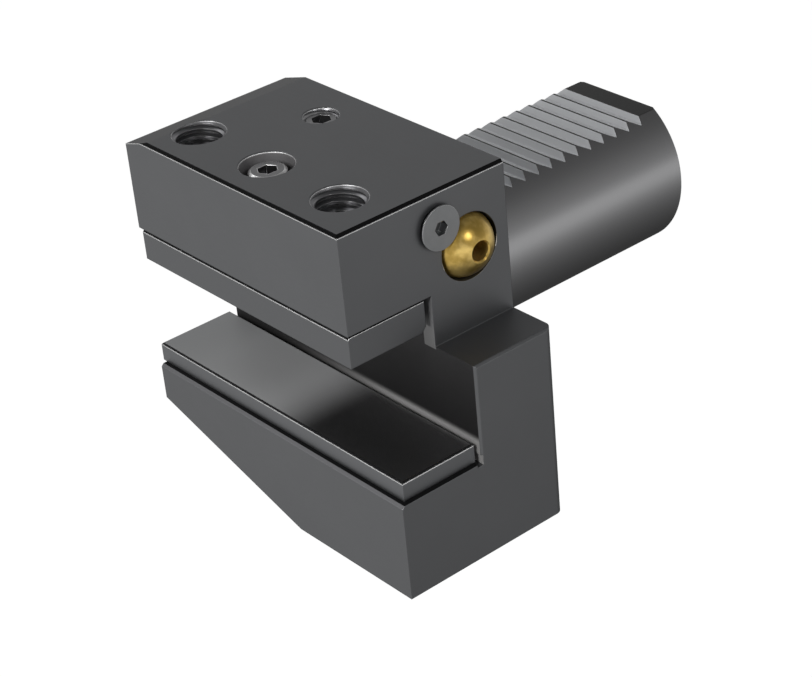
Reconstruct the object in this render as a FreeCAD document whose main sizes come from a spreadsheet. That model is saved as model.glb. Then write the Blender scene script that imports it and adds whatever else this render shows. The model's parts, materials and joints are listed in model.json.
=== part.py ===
import FreeCAD, Part
import math
import os
import Sketcher

# Radial tool holder with a 40 mm serrated cylindrical shank.
# X runs along the tool slot, Y along the shank and away from the flange face, Z up.
# The origin is where the shank axis meets the flange face. Sizes are in millimetres.

os.makedirs("parts", exist_ok=True)
doc = FreeCAD.newDocument("ToolHolder")

# Driving dimensions

SIZES = [
    # Shank and its rack
    ("shank_diameter", 40.0),
    ("shank_length", 63.0),
    ("shank_end_chamfer", 0.5),
    ("rack_level", 16.0),
    ("rack_start", 12.0),
    ("tooth_pitch", 4.0),
    ("tooth_land", 0.5),
    ("tooth_steep_angle", 30.0),
    ("tooth_shallow_angle", 60.0),
    ("tooth_reference", 29.7),
    ("tooth_grooves_before_reference", 4.0),
    ("tooth_grooves", 11.0),
    # Head: two jaws joined by a back wall
    ("body_left", 42.5),
    ("lower_right", 42.5),
    ("upper_right", 30.4),
    ("head_length", 44.0),
    ("slot_depth", 22.0),
    ("top_level", 32.8),
    ("upper_jaw_level", 10.0),
    ("step_level", 2.0),
    ("seat_level", 25.3),
    ("bottom_level", 48.5),
    ("taper_top_level", 34.2),
    ("taper_foot", 5.2),
    ("left_bevel_run", 7.8),
    ("left_bevel_drop", 2.3),
    ("top_edge_chamfer", 0.7),
    ("jaw_edge_chamfer", 0.6),
    ("wall_end_chamfer", 0.5),
    ("step_edge_chamfer", 0.5),
    ("rear_corner_radius", 2.0),
    ("corner_relief_width", 1.3),
    ("corner_relief_depth", 0.4),
    ("corner_relief_drop", 0.6),
    ("corner_relief_rise", 1.7),
    # Clamping bar and its screws
    ("bar_gap", 0.7),
    ("bar_height", 7.1),
    ("bar_width", 20.1),
    ("bar_length", 71.8),
    ("bar_front_setback", 0.4),
    ("bar_rear_chamfer", 1.2),
    ("bar_edge_chamfer", 0.4),
    ("clamp_screw_spacing", 48.0),
    ("clamp_screw_diameter", 12.0),
    ("clamp_screw_length", 20.0),
    ("clamp_screw_lead", 1.0),
    ("clamp_screw_hex", 6.0),
    ("clamp_screw_hex_depth", 6.0),
    ("clamp_screw_point_diameter", 8.5),
    ("clamp_screw_point_length", 1.6),
    ("clamp_dimple_depth", 1.0),
    ("hole_mouth_chamfer", 0.25),
    # Spring-loaded screw that carries the bar
    ("carrier_screw_diameter", 5.0),
    ("carrier_screw_length", 22.0),
    ("carrier_head_diameter", 8.5),
    ("carrier_head_height", 5.0),
    ("carrier_head_depth", 1.2),
    ("carrier_hex", 4.0),
    ("carrier_hex_depth", 2.5),
    ("carrier_counterbore_diameter", 12.0),
    ("carrier_floor_thickness", 4.0),
    ("washer_diameter", 11.0),
    ("washer_thickness", 1.0),
    ("spring_mean_diameter", 8.4),
    ("spring_wire_diameter", 1.1),
    ("spring_turns", 3.5),
    # Support plate on the lower jaw
    ("plate_thickness", 4.5),
    ("plate_left", 43.7),
    ("plate_right", 41.2),
    ("plate_front_setback", 1.6),
    ("plate_wall_gap", 0.8),
    ("plate_edge_chamfer", 0.4),
    ("plate_screw_spacing", 40.0),
    ("plate_screw_diameter", 4.0),
    ("plate_screw_head_diameter", 7.0),
    ("plate_screw_head_height", 4.0),
    ("plate_screw_hex", 3.0),
    ("plate_screw_hex_depth", 2.0),
    ("plate_screw_web", 5.0),
    ("plate_hole_depth", 3.0),
    ("dowel_spacing", 66.0),
    ("dowel_diameter", 4.0),
    ("dowel_length", 8.0),
    ("dowel_chamfer", 0.4),
    # Coolant channels, plugs and seals
    ("channel_diameter", 6.0),
    ("channel_column_left", 16.0),
    ("channel_column_back", 10.6),
    ("inlet_recess_web", 0.6),
    ("plug_diameter", 8.0),
    ("top_plug_length", 4.0),
    ("top_plug_depth", 0.9),
    ("inlet_plug_length", 6.0),
    ("inlet_plug_depth", 0.6),
    ("plug_hex", 4.0),
    ("plug_hex_depth", 2.5),
    ("seal_section", 1.8),
    ("seal_recess_depth", 1.9),
    # Swivelling coolant nozzle
    ("nozzle_back", 10.7),
    ("nozzle_level", 17.0),
    ("ball_diameter", 15.0),
    ("ball_depth", 3.5),
    ("ball_hole_diameter", 4.4),
    ("ball_hole_depth", 6.0),
    ("ball_rear_hole_diameter", 5.0),
    ("ball_seat_diameter", 12.8),
    ("ball_seat_depth", 7.9),
    # Countersunk screw that grips the ball
    ("grip_screw_back", 18.65),
    ("grip_screw_level", 24.75),
    ("grip_screw_diameter", 5.0),
    ("grip_screw_length", 12.0),
    ("grip_head_diameter", 10.0),
    ("grip_head_rim", 0.3),
    ("grip_head_proud", 1.2),
    ("grip_hex", 3.0),
    ("grip_hex_depth", 2.0),
    ("grip_countersink_diameter", 9.0),
    ("grip_hole_depth", 14.0),
    # Ends of small screws and plugs
    ("screw_lead", 0.5),
    ("cap_head_chamfer", 0.4),
    # Clearances, and how far a through cut runs past its piece
    ("overshoot", 1.0),
    ("thread_clearance", 0.05),
    ("seat_clearance", 0.05),
    ("pin_clearance", 0.01),
    ("screw_pass_clearance", 0.25),
    ("counterbore_clearance", 0.3),
    ("ball_clearance", 0.05),
    ("inlet_seal_clearance", 0.3),
    ("shank_seal_clearance", 0.6),
]

sheet = doc.addObject("Spreadsheet::Sheet", "Sizes")
for row, (alias, size) in enumerate(SIZES, start=1):
    sheet.set("A%d" % row, alias)
    sheet.set("B%d" % row, str(size))
    sheet.setAlias("B%d" % row, alias)
doc.recompute()


def size(alias):
    """Value of one named size, in millimetres or degrees."""
    return float(sheet.get(alias))


def bound(expression):
    """Expression with every sheet alias given its sheet name."""
    words = []
    word = ""
    for letter in expression + " ":
        if letter.isalnum() or letter == "_":
            word += letter
            continue
        words.append("Sizes." + word if word in ALIASES else word)
        words.append(letter)
        word = ""
    return "".join(words).strip()


ALIASES = {alias for alias, _ in SIZES}

# Places that several pieces share, written once

BAR_CENTRE = "((upper_right - body_left) / 2)"
JAW_CENTRE = "(-(head_length - slot_depth / 2))"
BAR_TOP = "(upper_jaw_level - bar_gap)"
SLOT_WALL = "(-(head_length - slot_depth))"
CARRIER_SEAT = "(top_level - carrier_head_depth - carrier_head_height)"
CARRIER_FLOOR = "(upper_jaw_level + carrier_floor_thickness)"
BALL_CENTRE = "(upper_right - ball_depth)"
INLET_SEAL_MEAN = "(channel_diameter + seal_section + 2 * inlet_seal_clearance)"
INLET_RECESS = "(channel_diameter + 2 * seal_section + 4 * inlet_seal_clearance)"
SHANK_SEAL_MEAN = "(shank_diameter + seal_section + 2 * shank_seal_clearance)"
SHANK_RECESS = "(shank_diameter + 2 * seal_section + 4 * shank_seal_clearance)"
INLET_REACH = "((%s + %s) / 2 + inlet_recess_web)" % (SHANK_RECESS, INLET_RECESS)
INLET_LEVEL = "sqrt(%s^2 - channel_column_left^2)" % INLET_REACH
NOZZLE_SEAL_MEAN = "(ball_seat_diameter - seal_section - 2 * seat_clearance)"
NOZZLE_SEAL_REACH = "((ball_diameter + seal_section) / 2 + seat_clearance)"
NOZZLE_SEAL_BEHIND = "sqrt(%s^2 - (%s / 2)^2)" % (NOZZLE_SEAL_REACH, NOZZLE_SEAL_MEAN)
NOZZLE_FLOOR = "(ball_depth + %s + seal_section / 2 + seat_clearance)" % NOZZLE_SEAL_BEHIND


# Modelling helpers

TOLERANCE = 0.01


def plane_of(body, role):
    """Origin plane or axis of a body, found by its role."""
    for feature in body.Origin.OriginFeatures:
        if feature.Role == role:
            return feature
    raise ValueError(role)


def new_body(label):
    body = doc.addObject("PartDesign::Body", label)
    body.Label = label
    return body


def new_sketch(body, name, role, offset=None):
    """Sketch on an origin plane, moved along the plane's normal by an expression."""
    sketch = body.newObject("Sketcher::SketchObject", name)
    sketch.AttachmentSupport = [(plane_of(body, role), "")]
    sketch.MapMode = "FlatFace"
    if offset:
        sketch.setExpression(".AttachmentOffset.Base.z", bound(offset))
    return sketch


def place_vertex(sketch, geometry, vertex, across, up):
    """Hold one point of a sketch at two distances from the sketch's origin."""
    for kind, expression in (("DistanceX", across), ("DistanceY", up)):
        index = sketch.addConstraint(Sketcher.Constraint(kind, -1, 1, geometry, vertex, 1.0))
        sketch.setExpression("Constraints[%d]" % index, bound(expression))


def add_polygon(sketch, points):
    """Closed outline whose corners are pairs of expressions."""
    count = len(points)
    start_radius = 10.0
    corners = []
    for index in range(count):
        angle = 2 * math.pi * index / count
        corners.append(FreeCAD.Vector(start_radius * math.cos(angle), start_radius * math.sin(angle), 0))
    first = sketch.GeometryCount
    for index in range(count):
        following = corners[(index + 1) % count]
        sketch.addGeometry(Part.LineSegment(corners[index], following), False)
    for index in range(count):
        following = first + (index + 1) % count
        sketch.addConstraint(Sketcher.Constraint("Coincident", first + index, 2, following, 1))
    for index, (across, up) in enumerate(points):
        place_vertex(sketch, first + index, 1, across, up)


def add_circle(sketch, across, up, diameter):
    normal = FreeCAD.Vector(0, 0, 1)
    circle = sketch.addGeometry(Part.Circle(FreeCAD.Vector(1, 1, 0), normal, 2.0), False)
    place_vertex(sketch, circle, 3, across, up)
    index = sketch.addConstraint(Sketcher.Constraint("Diameter", circle, 4.0))
    sketch.setExpression("Constraints[%d]" % index, bound(diameter))


def hexagon(across_flats, across="0", up="0"):
    """Corners of a hexagon socket, as expressions."""
    points = []
    for index in range(6):
        reach = "%s / 2 / cos(30)" % across_flats
        turn = 60 * index
        points.append(("%s + %s * cos(%d)" % (across, reach, turn),
                       "%s + %s * sin(%d)" % (up, reach, turn)))
    return points


def extrude(body, kind, name, sketch, length, reverse=False, midplane=False):
    feature = body.newObject("PartDesign::" + kind, name)
    feature.Profile = sketch
    feature.setExpression("Length", bound(length))
    feature.Reversed = reverse
    feature.Midplane = midplane
    sketch.Visibility = False
    return feature


def pad(body, name, sketch, length, **options):
    return extrude(body, "Pad", name, sketch, length, **options)


def pocket(body, name, sketch, length, **options):
    """Pocket that must take metal away."""
    doc.recompute()
    before = body.Shape.Volume
    feature = extrude(body, "Pocket", name, sketch, length, **options)
    doc.recompute()
    if body.Shape.Volume > before - TOLERANCE:
        raise ValueError("pocket %s cuts nothing" % name)
    return feature


def turned(body, name, points):
    """Solid of revolution about the body's Z axis, from an outline in its XZ plane."""
    sketch = new_sketch(body, name + "Outline", "XZ_Plane")
    add_polygon(sketch, points)
    feature = body.newObject("PartDesign::Revolution", name)
    feature.Profile = sketch
    feature.ReferenceAxis = (sketch, ["V_Axis"])
    feature.Angle = 360.0
    sketch.Visibility = False
    return feature


def hex_socket(body, across_flats, depth, top):
    sketch = new_sketch(body, "SocketOutline", "XY_Plane", top)
    add_polygon(sketch, hexagon(across_flats))
    return pocket(body, "Socket", sketch, depth)


def cone_cut(body, name, base, normal, wide_diameter, narrow_diameter, depth):
    """Countersink whose mouth is centred on base, with expressions for its place."""
    cone = body.newObject("PartDesign::SubtractiveCone", name)
    cone.AttachmentSupport = None
    cone.MapMode = "Deactivated"
    cone.setExpression("Radius1", bound("(%s) / 2" % wide_diameter))
    cone.setExpression("Radius2", bound("(%s) / 2" % narrow_diameter))
    cone.setExpression("Height", bound(depth))
    cone.Placement.Rotation = FreeCAD.Rotation(FreeCAD.Vector(0, 0, 1), normal)
    for letter, expression in zip("xyz", base):
        cone.setExpression(".Placement.Base." + letter, bound(expression))
    return cone


def edges_where(shape, test):
    """Names of the edges whose two ends both pass a test, for fillets and chamfers."""
    names = []
    for index, edge in enumerate(shape.Edges, start=1):
        ends = [vertex.Point for vertex in edge.Vertexes]
        if ends and all(test(point) for point in ends):
            names.append("Edge%d" % index)
    return names


def dress(body, kind, name, names, expression):
    """Fillet or chamfer on the tip of a body."""
    tip = body.Tip
    feature = body.newObject("PartDesign::" + kind, name)
    feature.Base = (tip, names)
    feature.setExpression("Radius" if kind == "Fillet" else "Size", bound(expression))
    return feature


def near(first, second):
    return abs(first - second) < TOLERANCE


def place(feature, across, along, up, rotation=None):
    if rotation:
        feature.Placement.Rotation = rotation
    for letter, expression in zip("xyz", (across, along, up)):
        feature.setExpression(".Placement.Base." + letter, bound(expression))


ALONG_X = FreeCAD.Rotation(FreeCAD.Vector(0, 0, 1), FreeCAD.Vector(1, 0, 0))
ALONG_Y = FreeCAD.Rotation(FreeCAD.Vector(0, 0, 1), FreeCAD.Vector(0, 1, 0))
UPSIDE_DOWN = FreeCAD.Rotation(FreeCAD.Vector(1, 0, 0), 180)


# Holder body: head and shank machined from one piece of steel

def head(body):
    """Two jaws and the wall that joins them, each padded from the flange face."""
    lower = new_sketch(body, "LowerJawFront", "XZ_Plane")
    add_polygon(lower, [
        ("-body_left", "-seat_level"),
        ("-body_left", "-taper_top_level"),
        ("taper_foot", "-bottom_level"),
        ("lower_right", "-bottom_level"),
        ("lower_right", "-seat_level"),
    ])
    pad(body, "LowerJaw", lower, "head_length")
    wall = new_sketch(body, "WallFront", "XZ_Plane")
    add_polygon(wall, [
        ("-body_left", "-seat_level"),
        ("lower_right", "-seat_level"),
        ("lower_right", "-step_level"),
        ("upper_right", "-step_level"),
        ("upper_right", "upper_jaw_level"),
        ("-body_left", "upper_jaw_level"),
    ])
    pad(body, "Wall", wall, "head_length - slot_depth")
    upper = new_sketch(body, "UpperJawFront", "XZ_Plane")
    add_polygon(upper, [
        ("-body_left", "upper_jaw_level"),
        ("upper_right", "upper_jaw_level"),
        ("upper_right", "top_level"),
        ("left_bevel_run - body_left", "top_level"),
        ("-body_left", "top_level - left_bevel_drop"),
    ])
    pad(body, "UpperJaw", upper, "head_length")


def head_edges(body):
    """Chamfers and the rounded rear corner that the machined head has."""
    doc.recompute()
    left, right, outer = -size("body_left"), size("upper_right"), size("lower_right")
    front, wall = -size("head_length"), size("slot_depth") - size("head_length")
    top, step, seat = size("top_level"), -size("step_level"), -size("seat_level")
    names = edges_where(body.Shape, lambda p: near(p.z, top) and near(p.y, front))
    names += edges_where(body.Shape, lambda p: near(p.z, top) and near(p.x, right))
    dress(body, "Chamfer", "TopEdges", names, "top_edge_chamfer")
    doc.recompute()
    names = edges_where(body.Shape, lambda p: near(p.z, seat) and near(p.y, front))
    dress(body, "Chamfer", "JawEdge", names, "jaw_edge_chamfer")
    doc.recompute()
    names = edges_where(body.Shape, lambda p: near(p.x, left) and near(p.y, wall))
    dress(body, "Chamfer", "WallEnd", names, "wall_end_chamfer")
    doc.recompute()
    names = edges_where(body.Shape, lambda p: near(p.x, outer) and near(p.y, wall))
    names += edges_where(body.Shape, lambda p: near(p.x, outer) and near(p.z, step))
    dress(body, "Chamfer", "StepEdges", names, "step_edge_chamfer")
    doc.recompute()
    names = edges_where(body.Shape, lambda p: near(p.x, outer) and near(p.y, 0))
    dress(body, "Fillet", "RearCorner", names, "rear_corner_radius")
    doc.recompute()


def shank(body):
    """Plain neck and toothed length, padded one after the other out of the seal recess."""
    ring = new_sketch(body, "ShankSealMouth", "XZ_Plane")
    add_circle(ring, "0", "0", SHANK_RECESS)
    pocket(body, "ShankSealRecess", ring, "seal_recess_depth", reverse=True)
    neck = new_sketch(body, "NeckCircle", "XZ_Plane", "seal_recess_depth")
    add_circle(neck, "0", "0", "shank_diameter")
    pad(body, "Neck", neck, "seal_recess_depth + rack_start", reverse=True).Refine = False
    toothed = new_sketch(body, "ToothedCircle", "XZ_Plane", "-rack_start")
    add_circle(toothed, "0", "0", "shank_diameter")
    pad(body, "ToothedLength", toothed, "shank_length - rack_start", reverse=True).Refine = False
    doc.recompute()
    end = size("shank_length")
    names = edges_where(body.Shape, lambda p: near(p.y, end))
    dress(body, "Chamfer", "ShankEnd", names, "shank_end_chamfer")
    flat = new_sketch(body, "RackFlatSide", "YZ_Plane")
    add_polygon(flat, [
        ("rack_start", "rack_level"),
        ("shank_length + overshoot", "rack_level"),
        ("shank_length + overshoot", "shank_diameter"),
        ("rack_start", "shank_diameter"),
    ])
    pocket(body, "RackFlat", flat, "shank_diameter + 2 * overshoot", midplane=True).Refine = False


def rack(body):
    """Row of V grooves whose steep flank faces the head, so that the wedge draws the shank in."""
    groove = new_sketch(body, "ToothGrooveSide", "YZ_Plane")
    first = "tooth_reference + tooth_pitch * (0.5 - tooth_grooves_before_reference)"
    mouth = "(tooth_pitch - tooth_land) / 2"
    depth = "(tooth_pitch - tooth_land) / (tan(tooth_steep_angle) + tan(tooth_shallow_angle))"
    add_polygon(groove, [
        ("%s - %s" % (first, mouth), "rack_level"),
        ("%s + %s - tan(tooth_steep_angle) * %s" % (first, mouth, depth), "rack_level - " + depth),
        ("%s + %s" % (first, mouth), "rack_level"),
    ])
    cut = pocket(body, "ToothGroove", groove, "shank_diameter + 2 * overshoot", midplane=True)
    cut.Refine = False
    pattern = body.newObject("PartDesign::LinearPattern", "Rack")
    pattern.Originals = [cut]
    pattern.Refine = False
    pattern.Direction = (plane_of(body, "Y_Axis"), [""])
    pattern.setExpression("Length", bound("tooth_pitch * (tooth_grooves - 1)"))
    pattern.setExpression("Occurrences", bound("tooth_grooves"))
    body.Tip = pattern
    doc.recompute()


def clamping_holes(body):
    """Two tapped holes and the stepped hole between them, down through the upper jaw."""
    tapped = new_sketch(body, "ClampHoles", "XY_Plane", "top_level")
    for side in ("-", "+"):
        add_circle(tapped, "%s %s clamp_screw_spacing / 2" % (BAR_CENTRE, side), JAW_CENTRE,
                   "clamp_screw_diameter")
    pocket(body, "TappedHoles", tapped, "top_level - upper_jaw_level + overshoot")
    bore = new_sketch(body, "CarrierBore", "XY_Plane", "top_level")
    add_circle(bore, BAR_CENTRE, JAW_CENTRE, "carrier_counterbore_diameter")
    pocket(body, "CarrierCounterbore", bore, "top_level - %s" % CARRIER_FLOOR)
    through = new_sketch(body, "CarrierPass", "XY_Plane", CARRIER_FLOOR)
    add_circle(through, BAR_CENTRE, JAW_CENTRE, "carrier_screw_diameter + 2 * screw_pass_clearance")
    pocket(body, "CarrierHole", through, "carrier_floor_thickness + overshoot")


def hole_mouths(body):
    """Small chamfer round each hole in the top face."""
    down = FreeCAD.Vector(0, 0, -1)
    left = "%s - clamp_screw_spacing / 2" % BAR_CENTRE
    right = "%s + clamp_screw_spacing / 2" % BAR_CENTRE
    holes = [
        ("LeftMouth", left, JAW_CENTRE, "clamp_screw_diameter"),
        ("RightMouth", right, JAW_CENTRE, "clamp_screw_diameter"),
        ("CarrierMouth", BAR_CENTRE, JAW_CENTRE, "carrier_counterbore_diameter"),
        ("PlugMouth", "-channel_column_left", "-channel_column_back", "plug_diameter"),
    ]
    for name, across, along, diameter in holes:
        cone_cut(body, name, (across, along, "top_level"), down,
                 diameter + " + 2 * hole_mouth_chamfer", diameter, "hole_mouth_chamfer")


def coolant_channels(body):
    """A drilled column joins both inlets in the flange face to the nozzle pocket."""
    column = ("-channel_column_left", "-channel_column_back")
    plug_hole = new_sketch(body, "TopPlugHole", "XY_Plane", "top_level")
    add_circle(plug_hole, column[0], column[1], "plug_diameter")
    pocket(body, "TopPlugThread", plug_hole, "top_plug_depth + top_plug_length + seat_clearance")
    drill = new_sketch(body, "ColumnDrill", "XY_Plane", "top_level")
    add_circle(drill, column[0], column[1], "channel_diameter")
    pocket(body, "Column", drill, "top_level + channel_diameter / 2 + " + INLET_LEVEL)
    inlets = new_sketch(body, "InletDrill", "XZ_Plane")
    for level in (INLET_LEVEL, "-" + INLET_LEVEL):
        add_circle(inlets, column[0], level, "channel_diameter")
    pocket(body, "Inlets", inlets, "channel_column_back", reverse=True)
    recess = new_sketch(body, "InletRecess", "XZ_Plane")
    add_circle(recess, column[0], INLET_LEVEL, INLET_RECESS)
    pocket(body, "InletSealRecess", recess, "seal_recess_depth", reverse=True)
    spare = new_sketch(body, "SpareInletHole", "XZ_Plane")
    add_circle(spare, column[0], "-" + INLET_LEVEL, "plug_diameter")
    depth = "inlet_plug_depth + inlet_plug_length + seat_clearance"
    pocket(body, "SpareInletThread", spare, depth, reverse=True)


def nozzle_pocket(body):
    """Stepped pocket for the ball and its seal, with the channel behind it."""
    mouth = new_sketch(body, "BallPocketMouth", "YZ_Plane", "upper_right")
    add_circle(mouth, "-nozzle_back", "nozzle_level", "ball_diameter + 2 * ball_clearance")
    pocket(body, "BallPocket", mouth, "ball_seat_depth")
    seat = new_sketch(body, "BallSeatMouth", "YZ_Plane", "upper_right")
    add_circle(seat, "-nozzle_back", "nozzle_level", "ball_seat_diameter")
    pocket(body, "BallSeat", seat, NOZZLE_FLOOR)
    feed = new_sketch(body, "NozzleFeed", "YZ_Plane", "upper_right")
    add_circle(feed, "-nozzle_back", "nozzle_level", "channel_diameter")
    pocket(body, "NozzleChannel", feed, "upper_right + channel_column_left")
    tapped = new_sketch(body, "GripHole", "YZ_Plane", "upper_right")
    add_circle(tapped, "-grip_screw_back", "grip_screw_level", "grip_screw_diameter")
    pocket(body, "GripThread", tapped, "grip_hole_depth")
    cone_cut(body, "GripCountersink", ("upper_right", "-grip_screw_back", "grip_screw_level"),
             FreeCAD.Vector(-1, 0, 0), "grip_countersink_diameter", "grip_screw_diameter",
             "(grip_countersink_diameter - grip_screw_diameter) / 2")


def seat_holes(body):
    """Screw and dowel holes under the support plate, and the relief along its wall."""
    centre = plate_centre()
    screws = new_sketch(body, "PlateScrewHoles", "XY_Plane", "-seat_level")
    bores = new_sketch(body, "PlateScrewBores", "XY_Plane", "-seat_level - plate_screw_web")
    dowels = new_sketch(body, "DowelHoles", "XY_Plane", "-seat_level")
    for side in ("-", ""):
        add_circle(screws, side + "plate_screw_spacing / 2", centre,
                   "plate_screw_diameter + 2 * screw_pass_clearance")
        add_circle(bores, side + "plate_screw_spacing / 2", centre,
                   "plate_screw_head_diameter + 2 * counterbore_clearance")
        add_circle(dowels, side + "dowel_spacing / 2", centre, "dowel_diameter + 2 * pin_clearance")
    pocket(body, "PlateScrewPass", screws, "bottom_level - seat_level + overshoot")
    pocket(body, "PlateScrewCounterbores", bores, "bottom_level - seat_level + overshoot")
    pocket(body, "DowelSockets", dowels, "dowel_length - plate_hole_depth + seat_clearance")
    relief = new_sketch(body, "CornerReliefSide", "YZ_Plane")
    floor, lip = "-seat_level - corner_relief_drop", "corner_relief_rise - seat_level"
    add_polygon(relief, [
        (SLOT_WALL + " - corner_relief_width", floor),
        (SLOT_WALL + " + corner_relief_depth", floor),
        (SLOT_WALL + " + corner_relief_depth", lip),
        (SLOT_WALL + " - corner_relief_width", lip),
    ])
    pocket(body, "CornerRelief", relief, "body_left + lower_right + 2 * overshoot", midplane=True)


def plate_centre():
    """Expression for the middle of the support plate, across the slot."""
    front = "(plate_front_setback - head_length)"
    return "((%s + %s - plate_wall_gap) / 2)" % (front, SLOT_WALL)


def holder_body():
    body = new_body("holder_body")
    head(body)
    head_edges(body)
    clamping_holes(body)
    coolant_channels(body)
    hole_mouths(body)
    nozzle_pocket(body)
    seat_holes(body)
    shank(body)
    rack(body)


# Clamping bar: hardened bar under the upper jaw that presses the tool onto its seat

def clamping_bar():
    body = new_body("clamping_bar")
    side = new_sketch(body, "BarSide", "YZ_Plane", "-bar_length / 2")
    front = "(bar_front_setback - head_length)"
    rear = "(%s + bar_width)" % front
    bottom = "(%s - bar_height)" % BAR_TOP
    add_polygon(side, [
        (front, bottom),
        (rear + " - bar_rear_chamfer", bottom),
        (rear, bottom + " + bar_rear_chamfer"),
        (rear, BAR_TOP),
        (front + " + bar_edge_chamfer", BAR_TOP),
        (front, BAR_TOP + " - bar_edge_chamfer"),
    ])
    pad(body, "Bar", side, "bar_length")
    dimples = new_sketch(body, "DimpleMouths", "XY_Plane", BAR_TOP)
    for sign in ("-", ""):
        add_circle(dimples, sign + "clamp_screw_spacing / 2", JAW_CENTRE,
                   "clamp_screw_point_diameter + 2 * screw_pass_clearance")
    pocket(body, "Dimples", dimples, "clamp_dimple_depth")
    tapped = new_sketch(body, "CarrierThread", "XY_Plane", BAR_TOP)
    add_circle(tapped, "0", JAW_CENTRE, "carrier_screw_diameter")
    pocket(body, "CarrierTappedHole", tapped, "bar_height + overshoot")
    place(body, BAR_CENTRE, "0", "0")


# Clamping screws: socket set screws with a flat point, down onto the bar

def clamping_screw(label, side):
    body = new_body(label)
    radius = "(clamp_screw_diameter / 2 - thread_clearance)"
    turned(body, "Screw", [
        ("0", "0"),
        ("clamp_screw_point_diameter / 2", "0"),
        ("clamp_screw_point_diameter / 2", "clamp_screw_point_length"),
        (radius, "clamp_screw_point_length + clamp_screw_lead"),
        (radius, "clamp_screw_length - clamp_screw_lead"),
        (radius + " - clamp_screw_lead", "clamp_screw_length"),
        ("0", "clamp_screw_length"),
    ])
    hex_socket(body, "clamp_screw_hex", "clamp_screw_hex_depth", "clamp_screw_length")
    place(body, "%s %s clamp_screw_spacing / 2" % (BAR_CENTRE, side), JAW_CENTRE,
          "%s - clamp_dimple_depth + seat_clearance" % BAR_TOP)


# Carrier screw, washer and spring: they lift the bar when the clamping screws are backed off

def cap_screw(label, diameter, length, head_diameter, head_height, across_flats, hex_depth):
    """Socket head cap screw, its head seat at the local origin and its shank downward."""
    body = new_body(label)
    radius = "(%s / 2 - thread_clearance)" % diameter
    turned(body, "Screw", [
        ("0", "-" + length),
        (radius + " - screw_lead", "-" + length),
        (radius, "screw_lead - " + length),
        (radius, "0"),
        (head_diameter + " / 2", "0"),
        (head_diameter + " / 2", head_height + " - cap_head_chamfer"),
        (head_diameter + " / 2 - cap_head_chamfer", head_height),
        ("0", head_height),
    ])
    hex_socket(body, across_flats, hex_depth, head_height)
    return body


def bar_carrier():
    screw = cap_screw("bar_carrier_screw", "carrier_screw_diameter", "carrier_screw_length",
                      "carrier_head_diameter", "carrier_head_height", "carrier_hex", "carrier_hex_depth")
    place(screw, BAR_CENTRE, JAW_CENTRE, CARRIER_SEAT)
    washer = new_body("spring_washer")
    inner = "carrier_screw_diameter / 2 + screw_pass_clearance"
    turned(washer, "Washer", [
        (inner, "-washer_thickness"),
        ("washer_diameter / 2", "-washer_thickness"),
        ("washer_diameter / 2", "0"),
        (inner, "0"),
    ])
    place(washer, BAR_CENTRE, JAW_CENTRE, CARRIER_SEAT)
    spring = new_body("bar_return_spring")
    room = "(%s - washer_thickness - %s)" % (CARRIER_SEAT, CARRIER_FLOOR)
    height = room + " - 2 * seat_clearance - spring_wire_diameter"
    wire = new_sketch(spring, "WireSection", "XZ_Plane")
    add_polygon(wire, hexagon("spring_wire_diameter * cos(30)", "spring_mean_diameter / 2"))
    coil = spring.newObject("PartDesign::AdditiveHelix", "Coil")
    coil.Profile = wire
    coil.ReferenceAxis = (wire, ["V_Axis"])
    coil.Mode = "height-turns-angle"
    coil.setExpression("Height", bound(height))
    coil.setExpression("Turns", bound("spring_turns"))
    wire.Visibility = False
    place(spring, BAR_CENTRE, JAW_CENTRE,
          "%s + seat_clearance + spring_wire_diameter / 2" % CARRIER_FLOOR)


# Support plate: ground tool rest, screwed and dowelled to the lower jaw from below

def support_plate():
    body = new_body("support_plate")
    left, right = "-plate_left", "plate_right"
    front, rear = "(plate_front_setback - head_length)", "(%s - plate_wall_gap)" % SLOT_WALL
    outline = new_sketch(body, "PlateOutline", "XY_Plane", "-seat_level")
    add_polygon(outline, [(left, front), (right, front), (right, rear), (left, rear)])
    pad(body, "Plate", outline, "plate_thickness")
    doc.recompute()
    top = size("plate_thickness") - size("seat_level")
    names = edges_where(body.Shape, lambda p: near(p.z, top))
    dress(body, "Chamfer", "TopEdge", names, "plate_edge_chamfer")
    holes = new_sketch(body, "PlateHoles", "XY_Plane", "-seat_level")
    for side in ("-", ""):
        add_circle(holes, side + "plate_screw_spacing / 2", plate_centre(), "plate_screw_diameter")
        add_circle(holes, side + "dowel_spacing / 2", plate_centre(), "dowel_diameter + 2 * pin_clearance")
    pocket(body, "BlindHoles", holes, "plate_hole_depth + seat_clearance", reverse=True)


def plate_fasteners():
    for label, side in (("left_plate_screw", "-"), ("right_plate_screw", "")):
        length = "(plate_screw_web + plate_hole_depth)"
        screw = cap_screw(label, "plate_screw_diameter", length, "plate_screw_head_diameter",
                          "plate_screw_head_height", "plate_screw_hex", "plate_screw_hex_depth")
        place(screw, side + "plate_screw_spacing / 2", plate_centre(), "-seat_level - plate_screw_web",
              UPSIDE_DOWN)
    for label, side in (("left_plate_dowel", "-"), ("right_plate_dowel", "")):
        body = new_body(label)
        radius = "dowel_diameter / 2"
        turned(body, "Dowel", [
            ("0", "0"),
            (radius + " - dowel_chamfer", "0"),
            (radius, "dowel_chamfer"),
            (radius, "dowel_length - dowel_chamfer"),
            (radius + " - dowel_chamfer", "dowel_length"),
            ("0", "dowel_length"),
        ])
        place(body, side + "dowel_spacing / 2", plate_centre(),
              "plate_hole_depth - seat_level - dowel_length")


# Coolant plugs and rubber seals

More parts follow.
